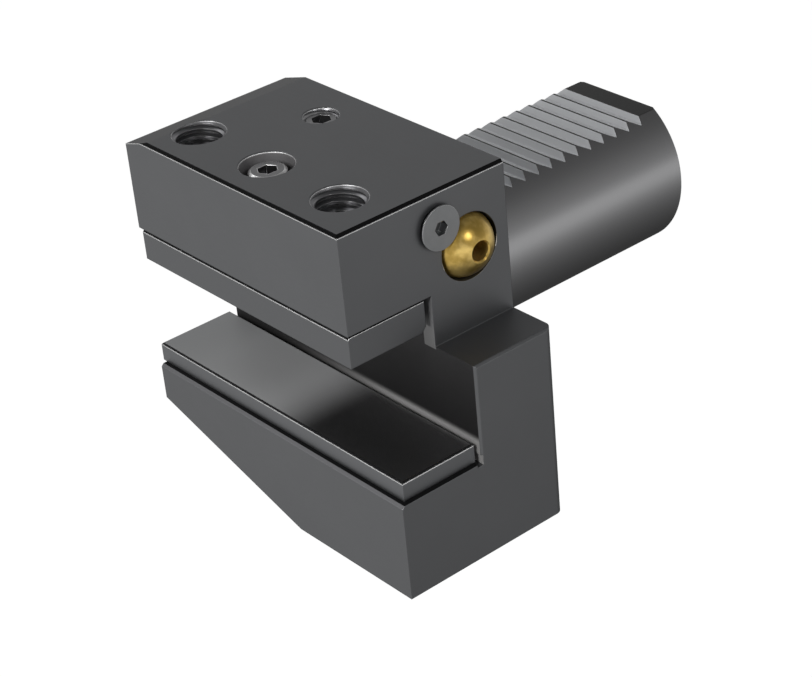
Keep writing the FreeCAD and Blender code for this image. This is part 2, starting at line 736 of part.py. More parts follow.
def channel_plug(label, length, across, along, up, rotation=None):
    body = new_body(label)
    radius = "(plug_diameter / 2 - thread_clearance)"
    turned(body, "Plug", [
        ("0", "-" + length),
        (radius + " - screw_lead", "-" + length),
        (radius, "screw_lead - " + length),
        (radius, "-screw_lead"),
        (radius + " - screw_lead", "0"),
        ("0", "0"),
    ])
    hex_socket(body, "plug_hex", "plug_hex_depth", "0")
    place(body, across, along, up, rotation)


def seal_ring(label, mean_diameter, across, along, up, rotation):
    """Rubber ring, its round section drawn as a hexagon."""
    body = new_body(label)
    turned(body, "Ring", hexagon("seal_section * cos(30)", mean_diameter + " / 2"))
    place(body, across, along, up, rotation)


def coolant_fittings():
    channel_plug("top_channel_plug", "top_plug_length", "-channel_column_left", "-channel_column_back",
                 "top_level - top_plug_depth")
    channel_plug("spare_inlet_plug", "inlet_plug_length", "-channel_column_left", "-inlet_plug_depth",
                 "-" + INLET_LEVEL, ALONG_Y)
    seated = "seal_section / 2 - seal_recess_depth"
    seal_ring("inlet_seal_ring", INLET_SEAL_MEAN, "-channel_column_left", seated, INLET_LEVEL, ALONG_Y)
    seal_ring("shank_seal_ring", SHANK_SEAL_MEAN, "0", seated, "0", ALONG_Y)


# Coolant nozzle: brass ball on a seal ring, gripped by a countersunk screw

def nozzle():
    ball = new_body("nozzle_ball")
    sphere = ball.newObject("PartDesign::AdditiveSphere", "Ball")
    sphere.setExpression("Radius", bound("ball_diameter / 2"))
    jet = new_sketch(ball, "JetMouth", "XY_Plane", "ball_diameter / 2")
    add_circle(jet, "0", "0", "ball_hole_diameter")
    pocket(ball, "Jet", jet, "ball_hole_depth + overshoot")
    feed = new_sketch(ball, "FeedMouth", "XY_Plane", "ball_diameter / 2 - ball_hole_depth")
    add_circle(feed, "0", "0", "ball_rear_hole_diameter")
    pocket(ball, "Feed", feed, "ball_diameter")
    place(ball, BALL_CENTRE, "-nozzle_back", "nozzle_level", ALONG_X)
    seal_ring("nozzle_seal_ring", NOZZLE_SEAL_MEAN, "%s - %s" % (BALL_CENTRE, NOZZLE_SEAL_BEHIND),
              "-nozzle_back", "nozzle_level", ALONG_X)


def nozzle_grip_screw():
    body = new_body("nozzle_grip_screw")
    radius = "(grip_screw_diameter / 2 - thread_clearance)"
    head_radius = "grip_head_diameter / 2"
    turned(body, "Screw", [
        ("0", "-grip_screw_length"),
        (radius + " - screw_lead", "-grip_screw_length"),
        (radius, "screw_lead - grip_screw_length"),
        (radius, "-grip_head_rim - %s + %s" % (head_radius, radius)),
        (head_radius, "-grip_head_rim"),
        (head_radius, "0"),
        ("0", "0"),
    ])
    hex_socket(body, "grip_hex", "grip_hex_depth", "0")
    place(body, "upper_right + grip_head_proud", "-grip_screw_back", "grip_screw_level", ALONG_X)


holder_body()
clamping_bar()
clamping_screw("left_clamping_screw", "-")
clamping_screw("right_clamping_screw", "+")
bar_carrier()
support_plate()
plate_fasteners()
coolant_fittings()
nozzle()
nozzle_grip_screw()
doc.recompute()

# Check every object, then write one file per sub-part

for item in doc.Objects:
    if "Invalid" in item.State or "Error" in item.State:
        raise ValueError("%s failed: %s" % (item.Label, item.State))

nodes = [item for item in doc.Objects if item.TypeId == "PartDesign::Body"]
for node in nodes:
    if node.Shape.isNull() or not node.Shape.isValid():
        raise ValueError("%s has no valid shape" % node.Label)
for node in nodes:
    node.Shape.exportStep("parts/%s.step" % node.Label)
    print(node.Label, round(node.Shape.Volume, 1), len(node.Shape.Solids))
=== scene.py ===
import json
import math

import bmesh
import bpy
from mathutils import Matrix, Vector


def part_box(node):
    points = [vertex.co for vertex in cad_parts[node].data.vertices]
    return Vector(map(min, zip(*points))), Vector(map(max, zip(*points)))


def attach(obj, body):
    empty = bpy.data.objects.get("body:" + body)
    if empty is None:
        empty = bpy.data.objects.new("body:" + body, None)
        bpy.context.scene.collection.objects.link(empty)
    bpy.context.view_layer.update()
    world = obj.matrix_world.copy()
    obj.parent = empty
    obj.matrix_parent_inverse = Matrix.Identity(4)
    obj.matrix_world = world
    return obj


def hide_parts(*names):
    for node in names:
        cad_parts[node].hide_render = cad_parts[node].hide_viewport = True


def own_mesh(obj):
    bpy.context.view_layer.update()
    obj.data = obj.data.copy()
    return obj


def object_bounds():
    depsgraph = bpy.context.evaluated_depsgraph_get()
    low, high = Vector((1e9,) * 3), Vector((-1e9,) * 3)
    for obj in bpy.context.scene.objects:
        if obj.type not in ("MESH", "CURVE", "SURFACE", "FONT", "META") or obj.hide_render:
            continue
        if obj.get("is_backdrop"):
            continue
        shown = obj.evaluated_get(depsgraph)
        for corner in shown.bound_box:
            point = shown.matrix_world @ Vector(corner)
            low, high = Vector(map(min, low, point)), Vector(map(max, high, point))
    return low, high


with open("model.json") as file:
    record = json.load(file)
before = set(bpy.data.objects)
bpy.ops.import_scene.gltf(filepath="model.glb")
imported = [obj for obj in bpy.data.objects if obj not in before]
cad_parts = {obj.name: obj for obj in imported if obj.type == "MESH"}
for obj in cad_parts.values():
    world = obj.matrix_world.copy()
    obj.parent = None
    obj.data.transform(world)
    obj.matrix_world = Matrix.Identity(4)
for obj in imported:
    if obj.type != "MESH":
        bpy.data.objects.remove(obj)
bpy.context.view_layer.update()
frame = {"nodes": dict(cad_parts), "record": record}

nodes = frame["nodes"]


# Holder body
# The head and the shank are one piece of tool steel, milled all over and then blackened in a
# hot bath. The shank is ground, and the rack on it is ground last, so its grooves are bright.

HEAD_COLOUR = (0.157, 0.160, 0.165)
# Painted shade on the bevel at the left end of the top face.
BEVEL_SHADE_COLOUR = (0.068, 0.069, 0.071)
# Painted shade: near black on the top chamfers, the seat strip before the plate and the chamfers of the plate
# and the bar.
PAINTED_SHADE_COLOUR = (0.030, 0.030, 0.031)
# Near white: painted highlight lines below the top chamfers, and worn edges with painted highlight on the
# screws.
WEAR_AND_HIGHLIGHT_COLOUR = (0.92, 0.92, 0.92)
# Painted highlight on the chamfer before the plate.
LIP_HIGHLIGHT_COLOUR = (0.27, 0.27, 0.28)
STEP_RIM_COLOUR = (0.42, 0.42, 0.43)
# Painted shade on the slot wall.
SLOT_WALL_SHADE_COLOUR = (0.050, 0.049, 0.050)
# Painted light along the foot of the slot wall.
SLOT_FOOT_LIGHT_COLOUR = (0.30, 0.296, 0.292)
# Painted light on the right end of the slot wall.
WALL_END_LIGHT_COLOUR = (0.21, 0.21, 0.21)
# Painted light on the wall in the gap behind the bar.
GAP_LIGHT_COLOUR = (0.17, 0.17, 0.175)
BORE_COLOUR = (0.24, 0.235, 0.24)
SHANK_COLOUR = (0.31, 0.31, 0.315)
GROOVE_COLOUR = (0.62, 0.63, 0.645)
# Painted shade: black on the lands of the rack.
LAND_SHADE_COLOUR = (0.004, 0.004, 0.004)
HEAD_MOTTLE = 0.06
WALL_MOTTLE = 0.2
RIM_MOTTLE = 0.5
GROUND_MOTTLE = 0.05
HEAD_ROUGHNESS = (0.46, 0.54)
SHANK_ROUGHNESS = 0.25
GROOVE_ROUGHNESS = 0.50
BAND_ROUGHNESS = 0.20
BORE_MATT = 0.5
EDGE_BREAK = 0.00028
MARK_DEPTH = 0.0000010

LEVEL_FACING = 0.95
CHAMFER_FACING = (0.55, 0.85)
BEVEL_FACING = 0.9
BEVEL_SIDE = (-0.4, -0.2)
WALL_FACING = -0.9
SLANT_FACING = 0.3
UPRIGHT_FACING = 0.1
FLAT_MATCH = 0.998
EDGE_MATCH = 0.982
HIGHLIGHT_LINE = (0.03, 0.12)
HIGHLIGHT_LINE_END = (0.66, 0.58)

SHANK_START = 0.0002
SHANK_RADIUS = 0.0199
RACK_START = 0.0115
RACK_FLOOR = 0.0142
RACK_LAND = 0.0159
TOP_CHAMFER_LEVEL = 0.0290
UPPER_JAW_LEVEL = 0.0142
FRONT_EDGE = -0.0425
RIGHT_EDGE = 0.0285
REAR_EDGE = -0.0015
SLOT_WALL = -0.0225
STEP_LEVEL = 0.0025
WALL_END = (0.0270, 0.0306)
SLOT_FOOT = (-0.0188, -0.0206)
FOOT_LENGTH = (-0.030, 0.020)
SEAT_LEVEL = (-0.0256, -0.0250)
BORES_ACROSS = (-0.0365, 0.0245)
BORES_ALONG = (-0.0395, -0.0265)


def link(material, start, end):
    material.node_tree.links.new(start, end)


def add_node(material, kind, **values):
    """One shader node with its plain settings."""
    node = material.node_tree.nodes.new(kind)
    for name, value in values.items():
        setattr(node, name, value)
    return node


def feed(material, slot, value):
    """Give a socket a number, a colour or the output of another node."""
    if isinstance(value, (int, float)):
        slot.default_value = value
    elif isinstance(value, tuple):
        slot.default_value = list(value) + [1.0] * (len(slot.default_value) - len(value))
    else:
        link(material, value, slot)


def calc(material, operation, first, second=0.0):
    node = add_node(material, "ShaderNodeMath", operation=operation)
    feed(material, node.inputs[0], first)
    feed(material, node.inputs[1], second)
    return node.outputs["Value"]


def above(material, value, limit):
    """Share that is one where a value is above a limit."""
    return calc(material, "GREATER_THAN", value, limit)


def below(material, value, limit):
    """Share that is one where a value is below a limit."""
    return calc(material, "LESS_THAN", value, limit)


def unsigned(material, value):
    """Value without its sign."""
    return calc(material, "ABSOLUTE", value)


def outside(material, share):
    """Share of all that a share leaves out."""
    return calc(material, "SUBTRACT", 1.0, share)


def both(material, *shares):
    """Share where all the given shares hold."""
    result = shares[0]
    for share in shares[1:]:
        result = calc(material, "MULTIPLY", result, share)
    return result


def either(material, *shares):
    """Share where any of the given shares holds."""
    result = shares[0]
    for share in shares[1:]:
        result = calc(material, "MAXIMUM", result, share)
    return result


def between(material, value, low, high):
    """Share that is one while a value lies between two numbers."""
    return both(material, above(material, value, low), below(material, value, high))


def ramp(material, value, start, end, low=0.0, high=1.0):
    """Smooth change from low to high while a value goes from start to end."""
    node = add_node(material, "ShaderNodeMapRange", interpolation_type="SMOOTHSTEP")
    feed(material, node.inputs["Value"], value)
    feed(material, node.inputs["From Min"], start)
    feed(material, node.inputs["From Max"], end)
    feed(material, node.inputs["To Min"], low)
    feed(material, node.inputs["To Max"], high)
    return node.outputs["Result"]


def tint(material, share, first, second):
    """Colour between two colours."""
    node = add_node(material, "ShaderNodeMix", data_type="RGBA")
    feed(material, node.inputs["Factor"], share)
    feed(material, node.inputs["A"], first)
    feed(material, node.inputs["B"], second)
    return node.outputs["Result"]


def level(material, share, first, second):
    """Number between two numbers."""
    node = add_node(material, "ShaderNodeMix", data_type="FLOAT")
    feed(material, node.inputs["Factor"], share)
    feed(material, node.inputs["A"], first)
    feed(material, node.inputs["B"], second)
    return node.outputs["Result"]


def mottled(material, pattern, colour, spread):
    """Colour that a pattern makes a little darker and lighter."""
    darker = tuple((1.0 - spread) * channel for channel in colour)
    lighter = tuple((1.0 + spread) * channel for channel in colour)
    return tint(material, pattern, darker, lighter)


def noise(material, scale, stretch=(1.0, 1.0, 1.0), detail=3.0):
    """Noise on object coordinates, drawn out along the axes where stretch is small."""
    place = add_node(material, "ShaderNodeTexCoord")
    mapping = add_node(material, "ShaderNodeMapping")
    mapping.inputs["Scale"].default_value = stretch
    grain = add_node(material, "ShaderNodeTexNoise")
    grain.inputs["Scale"].default_value = scale
    grain.inputs["Detail"].default_value = detail
    link(material, place.outputs["Object"], mapping.inputs["Vector"])
    link(material, mapping.outputs["Vector"], grain.inputs["Vector"])
    return grain.outputs["Fac"]


def split(material, vector):
    """Three components of a vector."""
    axes = add_node(material, "ShaderNodeSeparateXYZ")
    link(material, vector, axes.inputs["Vector"])
    return axes.outputs["X"], axes.outputs["Y"], axes.outputs["Z"]


def parts_of(material, output):
    """Three components of the place, or of the direction that a surface faces."""
    place = add_node(material, "ShaderNodeTexCoord")
    return split(material, place.outputs[output])


def broken_edges(material, radius):
    """Normal that rounds the sharp edges, and the share of edge at each point."""
    bevel = add_node(material, "ShaderNodeBevel", samples=8)
    bevel.inputs["Radius"].default_value = radius
    flat = add_node(material, "ShaderNodeNewGeometry")
    compare = add_node(material, "ShaderNodeVectorMath", operation="DOT_PRODUCT")
    link(material, bevel.outputs["Normal"], compare.inputs[0])
    link(material, flat.outputs["True Normal"], compare.inputs[1])
    return bevel.outputs["Normal"], ramp(material, compare.outputs["Value"], FLAT_MATCH, EDGE_MATCH)


def highlight_line(material, normal, edge):
    """Share of the painted highlight line where a top chamfer meets the face below it."""
    rise = split(material, normal)[2]
    return both(material, edge, ramp(material, rise, *HIGHLIGHT_LINE), ramp(material, rise, *HIGHLIGHT_LINE_END))


def round_normal(material, normal, across, up, share):
    """Normal of a true cylinder about Y in place of the one of its facets."""
    outward = add_node(material, "ShaderNodeCombineXYZ")
    feed(material, outward.inputs["X"], across)
    feed(material, outward.inputs["Z"], up)
    even = add_node(material, "ShaderNodeVectorMath", operation="NORMALIZE")
    link(material, outward.outputs["Vector"], even.inputs[0])
    turned_out = add_node(material, "ShaderNodeVectorTransform", vector_type="NORMAL", convert_from="OBJECT",
                          convert_to="WORLD")
    link(material, even.outputs["Vector"], turned_out.inputs["Vector"])
    mixed = add_node(material, "ShaderNodeMix", data_type="VECTOR")
    feed(material, mixed.inputs["Factor"], share)
    link(material, normal, mixed.inputs[4])
    link(material, turned_out.outputs["Vector"], mixed.inputs[5])
    return mixed.outputs[1]


def fine_marks(material, normal, height, depth):
    """Normal with marks of a small depth on it."""
    bump = add_node(material, "ShaderNodeBump")
    bump.inputs["Strength"].default_value = 1.0
    bump.inputs["Distance"].default_value = depth
    link(material, height, bump.inputs["Height"])
    link(material, normal, bump.inputs["Normal"])
    return bump.outputs["Normal"]


def metal(name):
    """Empty metal finish and its shader."""
    material = bpy.data.materials.new(name)
    material.use_nodes = True
    shader = material.node_tree.nodes["Principled BSDF"]
    shader.inputs["Metallic"].default_value = 1.0
    return material, shader


def finish_node(node_name, material):
    """Give a node of the frame its finish."""
    mesh = nodes[node_name].data
    mesh.materials.clear()
    mesh.materials.append(material)


def rack_shares(material, place, facing):
    """Ground grooves of the rack, and the lands between them, which are painted black as shade."""
    _, along, up = place
    _, back, rise = facing
    past_neck = above(material, along, RACK_START)
    level_face = above(material, rise, LEVEL_FACING)
    slanted = above(material, unsigned(material, back), SLANT_FACING)
    low_face = both(material, level_face, below(material, up, RACK_LAND))
    cut = either(material, slanted, low_face)
    groove = both(material, past_neck, above(material, up, RACK_FLOOR), cut)
    land = both(material, past_neck, level_face, above(material, up, RACK_LAND))
    return groove, land


def round_share(material, place, facing):
    """Round of the shank, without its flat and its end."""
    across, _, up = place
    reach = add_node(material, "ShaderNodeCombineXYZ")
    feed(material, reach.inputs["X"], across)
    feed(material, reach.inputs["Z"], up)
    radius = add_node(material, "ShaderNodeVectorMath", operation="LENGTH")
    link(material, reach.outputs["Vector"], radius.inputs[0])
    outermost = above(material, radius.outputs["Value"], SHANK_RADIUS)
    return both(material, outermost, below(material, unsigned(material, facing[1]), UPRIGHT_FACING))


def slot_shares(material, place, facing):
    """Slot wall, which gets painted shade, the strip along its foot, its right end and the gap behind the
    bar, which get painted light, and the seat of the plate, which gets painted shade.
    """
    across, along, up = place
    _, back, rise = facing
    in_slot = between(material, along, SLOT_WALL, SHANK_START)
    wall = both(material, in_slot, below(material, back, WALL_FACING))
    low = ramp(material, up, *SLOT_FOOT)
    foot = both(material, wall, low, ramp(material, across, *FOOT_LENGTH, low=0.1))
    right_end = both(material, wall, between(material, across, *WALL_END))
    wall_end = both(material, right_end, between(material, up, -STEP_LEVEL, STEP_LEVEL))
    gap = both(material, right_end, between(material, up, STEP_LEVEL, UPPER_JAW_LEVEL))
    seat = both(material, above(material, rise, LEVEL_FACING), between(material, up, *SEAT_LEVEL))
    return wall, foot, wall_end, gap, seat


def edge_shares(material, place, facing, on_head):
    """Dark band of the top chamfers, painted as shade, a light lip before the plate, painted as highlight,
    and a lighter, mottled rim of the step.
    """
    across, along, up = place
    chamfer = both(material, between(material, facing[2], *CHAMFER_FACING), on_head)
    outer = either(material, below(material, along, FRONT_EDGE), above(material, across, RIGHT_EDGE),
                   above(material, along, REAR_EDGE))
    band = both(material, chamfer, above(material, up, TOP_CHAMFER_LEVEL), outer)
    lip = both(material, chamfer, below(material, along, SLOT_WALL), below(material, up, 0.0))
    at_step = both(material, above(material, along, SLOT_WALL), between(material, up, 0.0, STEP_LEVEL))
    step_rim = both(material, chamfer, at_step)
    return band, lip, step_rim


def bevel_share(material, facing, on_head):
    """Flat bevel at the left end of the top face, which gets painted shade."""
    side, _, rise = facing
    return both(material, on_head, between(material, side, *BEVEL_SIDE), above(material, rise, BEVEL_FACING))


def bore_share(material, place, facing):
    """Walls of the three big holes in the upper jaw."""
    across, along, up = place
    row = both(material, between(material, along, *BORES_ALONG), between(material, across, *BORES_ACROSS))
    upright = below(material, unsigned(material, facing[2]), UPRIGHT_FACING)
    return both(material, row, upright, above(material, up, UPPER_JAW_LEVEL))


def blackened_holder():
    """Satin black head with painted shade in the slot and along its top edges, painted light and highlight
    lines at some edges, ground shank and bright rack grooves.
    """
    material, shader = metal("blackened_holder")
    place = parts_of(material, "Object")
    facing = parts_of(material, "Normal")
    across, along, up = place
    stains = noise(material, scale=55.0, detail=5.0)
    cutter_marks = noise(material, scale=700.0, stretch=(0.6, 9.0, 9.0))
    on_shank = above(material, along, SHANK_START)
    on_head = outside(material, on_shank)
    groove, land = rack_shares(material, place, facing)
    wall, foot, wall_end, gap, seat = slot_shares(material, place, facing)
    band, lip, step_rim = edge_shares(material, place, facing, on_head)
    bore = bore_share(material, place, facing)
    normal, edge = broken_edges(material, EDGE_BREAK)
    # Painted highlight: a thin bright line below the top chamfers of the head.
    bright_edge = both(material, highlight_line(material, normal, edge), on_head, above(material, up, UPPER_JAW_LEVEL))
    colour = mottled(material, stains, HEAD_COLOUR, HEAD_MOTTLE)
    coats = [
        (wall, mottled(material, stains, SLOT_WALL_SHADE_COLOUR, WALL_MOTTLE)),
        (foot, SLOT_FOOT_LIGHT_COLOUR),
        (wall_end, WALL_END_LIGHT_COLOUR),
        (gap, GAP_LIGHT_COLOUR),
        (seat, PAINTED_SHADE_COLOUR),
        (lip, LIP_HIGHLIGHT_COLOUR),
        (step_rim, mottled(material, stains, STEP_RIM_COLOUR, RIM_MOTTLE)),
        (bevel_share(material, facing, on_head), BEVEL_SHADE_COLOUR),
        (bore, BORE_COLOUR),
        (on_shank, mottled(material, cutter_marks, SHANK_COLOUR, GROUND_MOTTLE)),
        (groove, mottled(material, cutter_marks, GROOVE_COLOUR, GROUND_MOTTLE)),
        (land, LAND_SHADE_COLOUR),
        (band, PAINTED_SHADE_COLOUR),
        (bright_edge, WEAR_AND_HIGHLIGHT_COLOUR),
    ]
    for share, coat in coats:
        colour = tint(material, share, colour, coat)
    link(material, colour, shader.inputs["Base Color"])
    rough = level(material, cutter_marks, *HEAD_ROUGHNESS)
    for share, roughness in ((on_shank, SHANK_ROUGHNESS), (groove, GROOVE_ROUGHNESS), (band, BAND_ROUGHNESS)):
        rough = level(material, share, rough, roughness)
    link(material, rough, shader.inputs["Roughness"])
    matt = either(material, foot, gap, calc(material, "MULTIPLY", bore, BORE_MATT))
    link(material, outside(material, matt), shader.inputs["Metallic"])
    on_round = both(material, on_shank, round_share(material, place, facing))
    normal = round_normal(material, normal, across, up, on_round)
    link(material, fine_marks(material, normal, cutter_marks, MARK_DEPTH), shader.inputs["Normal"])
    return material


finish_node("holder_body", blackened_holder())


# Threads in the holder
# The two big holes are tapped 12 mm for the clamping screws, and the small one 8 mm for a plug.
# The taps left the thread flanks brighter than the milled top face.

STEPS_ROUND = 48
BIG_PITCH = 0.00175
BIG_RADIUS = 0.0060
PLUG_PITCH = 0.00125
PLUG_RADIUS = 0.0040
UPPER_JAW_FLOOR = 0.0100
THREAD_FOOT = UPPER_JAW_FLOOR + 0.0002
MOUTH_CHAMFER = 0.00025
MOUTH_DEPTH = 0.0010
THREAD_HEIGHT = 0.54
FLANK_ANGLE = 30.0
SCREW_CLEARANCE = 0.00005
WALL_BITE = 0.00002
SLIVER = 0.000002
WELD = 0.0000005
CUT_PLANE_WELD = 0.0000001
THREAD_COLOUR = (0.25, 0.25, 0.26)
THREAD_ROUGHNESS = 0.38
OIL_MOTTLE = 0.14
CUT_ROUGHNESS_SPREAD = 0.06
CUT_MARK_DEPTH = 0.0000015

body_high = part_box("holder_body")[1]


def start_outline(first):
    """New mesh that is one vertex, ready to be extruded into an outline."""
    bpy.ops.object.select_all(action="DESELECT")
    bpy.ops.mesh.primitive_plane_add(size=0.001)
    bpy.ops.object.mode_set(mode="EDIT")
    bpy.ops.mesh.select_mode(type="VERT")
    bpy.ops.mesh.merge(type="CENTER")
    bpy.ops.transform.translate(value=(first[0], 0.0, first[1]))


def draw_outline(points):
    """Outline of (radius, height) points in the XZ plane, drawn by extruding a vertex."""
    start_outline(points[0])
    for before, after in zip(points, points[1:]):
        step = (after[0] - before[0], 0.0, after[1] - before[1])
        bpy.ops.mesh.extrude_region_move(TRANSFORM_OT_translate={"value": step})
    bpy.ops.mesh.select_all(action="SELECT")


def close_mesh():
    """Merge what meets, point all faces outwards and leave edit mode."""
    bpy.ops.mesh.select_all(action="SELECT")
    bpy.ops.mesh.remove_doubles(threshold=WELD)
    bpy.ops.mesh.normals_make_consistent(inside=False)
    bpy.ops.object.mode_set(mode="OBJECT")
    return bpy.context.object


def turned(points, steps=STEPS_ROUND):
    """Solid turned about Z from an outline."""
    draw_outline(points)
    bpy.ops.mesh.spin(steps=steps, angle=math.tau, center=(0.0, 0.0, 0.0), axis=(0.0, 0.0, 1.0))
    return close_mesh()


def select_only(piece):
    bpy.ops.object.select_all(action="DESELECT")
    piece.select_set(True)
    bpy.context.view_layer.objects.active = piece


def cut_with(piece, tool, operation="DIFFERENCE"):
    """Boolean of a piece with a tool, which is then removed, and no slivers along the cut."""
    select_only(piece)
    cut = piece.modifiers.new("Cut", "BOOLEAN")
    cut.operation = operation
    cut.solver = "EXACT"
    cut.object = tool
    bpy.ops.object.modifier_apply(modifier=cut.name)
    bpy.data.objects.remove(tool)
    bpy.ops.object.mode_set(mode="EDIT")
    bpy.ops.mesh.select_mode(type="VERT")
    bpy.ops.mesh.select_all(action="SELECT")
    bpy.ops.mesh.remove_doubles(threshold=SLIVER)
    bpy.ops.mesh.dissolve_degenerate(threshold=SLIVER)
    bpy.ops.object.mode_set(mode="OBJECT")
    return piece


def threaded_rod(pitch, radius, crest_gap, low, high, phase=0.0):
    """Solid with a right-hand thread all along it, cut flat at both heights."""
    crest = radius - crest_gap
    core = radius - THREAD_HEIGHT * pitch
    half_crest = pitch / 16
    half_root = half_crest + (crest - core) * math.tan(math.radians(FLANK_ANGLE))
    base = low - 2 * pitch + phase * pitch
    draw_outline([
        (core, base - pitch / 2),
        (core, base - half_root),
        (crest, base - half_crest),
        (crest, base + half_crest),
        (core, base + half_root),
        (core, base + pitch / 2),
    ])
    bpy.ops.object.mode_set(mode="OBJECT")
    rod = bpy.context.object
    helix = rod.modifiers.new("Helix", "SCREW")
    helix.axis = "Z"
    helix.screw_offset = pitch
    helix.iterations = math.ceil((high - low) / pitch) + 4
    helix.steps = STEPS_ROUND
    helix.render_steps = STEPS_ROUND
    helix.use_merge_vertices = True
    helix.merge_threshold = WELD
    bpy.ops.object.modifier_apply(modifier=helix.name)
    bpy.ops.object.mode_set(mode="EDIT")
    for height, is_foot in ((low, True), (high, False)):
        bpy.ops.mesh.select_all(action="SELECT")
        bpy.ops.mesh.bisect(plane_co=(0.0, 0.0, height), plane_no=(0.0, 0.0, 1.0), use_fill=True,
                            clear_inner=is_foot, clear_outer=not is_foot, threshold=CUT_PLANE_WELD)
    return close_mesh()


def set_down(piece, name, place, body, material, turn=(0.0, 0.0, 0.0), smooth=30.0):
    """Turn and move a finished piece to its place, name it and let it ride on its body."""
    select_only(piece)
    piece.rotation_euler = [math.radians(angle) for angle in turn]
    piece.location = place
    bpy.ops.object.transform_apply(location=True, rotation=True, scale=True)
    bpy.ops.object.shade_smooth_by_angle(angle=math.radians(smooth))
    piece.name = name
    piece.data.name = name
    piece.data.materials.clear()
    piece.data.materials.append(material)
    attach(piece, body)


def cut_steel(name, colour, roughness, scale=1800.0, stretch=(1.0, 1.0, 1.0), edge=0.00008, wear_and_highlight=0.3):
    """Steel of one colour with fine cutting marks, and edges lightened by wear and painted highlight."""
    material, shader = metal(name)
    marks = noise(material, scale, stretch)
    oil = noise(material, scale=300.0, detail=4.0)
    normal, rim = broken_edges(material, edge)
    oiled = mottled(material, oil, colour, OIL_MOTTLE)
    bright_edge = calc(material, "MULTIPLY", rim, wear_and_highlight)
    link(material, tint(material, bright_edge, oiled, WEAR_AND_HIGHLIGHT_COLOUR), shader.inputs["Base Color"])
    rough = level(material, marks, roughness - CUT_ROUGHNESS_SPREAD, roughness + CUT_ROUGHNESS_SPREAD)
    link(material, rough, shader.inputs["Roughness"])
    link(material, fine_marks(material, normal, marks, CUT_MARK_DEPTH), shader.inputs["Normal"])
    return material


thread_finish = cut_steel("tapped_thread", THREAD_COLOUR, THREAD_ROUGHNESS)


def hole_thread(name, across, along, low, pitch, radius):
    """Thread of a tapped hole: a thin sleeve with the thread cut out of it."""
    high = body_high[2] - MOUTH_CHAMFER
    bore = radius - THREAD_HEIGHT * pitch + SCREW_CLEARANCE
    wall = radius + WALL_BITE
    sleeve = turned([
        (bore, low),
        (wall, low),
        (wall, high),
        (radius - WALL_BITE, high),
        (bore, high - MOUTH_DEPTH),
        (bore, low),
    ])
    tap = threaded_rod(pitch, radius, 0.0, low - pitch, high + pitch)
    cut_with(sleeve, tap)
    set_down(sleeve, name, (across, along, 0.0), "holder", thread_finish)


def middle(node_name):
    """Centre of a node's box."""
    low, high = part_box(node_name)
    return (Vector(low) + Vector(high)) / 2


for side in ("left", "right"):
    centre = middle(side + "_clamping_screw")
    hole_thread(side + "_hole_thread", centre.x, centre.y, THREAD_FOOT, BIG_PITCH, BIG_RADIUS)
plug_low, plug_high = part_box("top_channel_plug")
plug_centre = middle("top_channel_plug")
hole_thread("plug_hole_thread", plug_centre.x, plug_centre.y, plug_low[2], PLUG_PITCH, PLUG_RADIUS)


# Support plate
# A hardened bar of steel that the tool lies on, ground flat and blackened, with broken edges.
# The left half of its top is matt and carries a painted pool of light, lighter towards the middle, which
# fades into the plain top.

PLATE_COLOUR = (0.50, 0.50, 0.505)
PLATE_SIDE_COLOUR = (0.180, 0.184, 0.190)
PLATE_ROUGHNESS = 0.32
PLATE_MOTTLE = 0.06
PLATE_LEFT_END = -0.044
# Painted light on the left half of the top.
LIGHT_PATCH_LEFT_COLOUR = (0.30, 0.305, 0.31)
LIGHT_PATCH_MIDDLE_COLOUR = (0.46, 0.465, 0.47)
LIGHT_PATCH_ROUGHNESS = 0.55
LIGHT_PATCH_METALLIC = 0.15
LIGHT_PATCH_FADE = (0.012, -0.006)
UPPER_EDGE = (0.66, 0.74)
REAR_FACING = 0.3
GRINDING_DEPTH = 0.0000012


def painted_light_top(material, on_top):
    """Share of the top that is matt and painted light, and its colour, darkest at the left end."""
    across = parts_of(material, "Object")[0]
    light_patch = both(material, on_top, ramp(material, across, *LIGHT_PATCH_FADE))
    towards_middle = ramp(material, across, PLATE_LEFT_END, LIGHT_PATCH_FADE[1])
    return light_patch, tint(material, towards_middle, LIGHT_PATCH_LEFT_COLOUR, LIGHT_PATCH_MIDDLE_COLOUR)


def dark_edges(material, normal, edge, rise):
    """Chamfers of the top and the breaks above them, apart from the rear ones, which get painted shade."""
    _, bent_back, bent_up = split(material, normal)
    upper_edge = both(material, edge, ramp(material, bent_up, *UPPER_EDGE))
    rim = either(material, between(material, rise, *CHAMFER_FACING), upper_edge)
    return both(material, rim, below(material, bent_back, REAR_FACING))


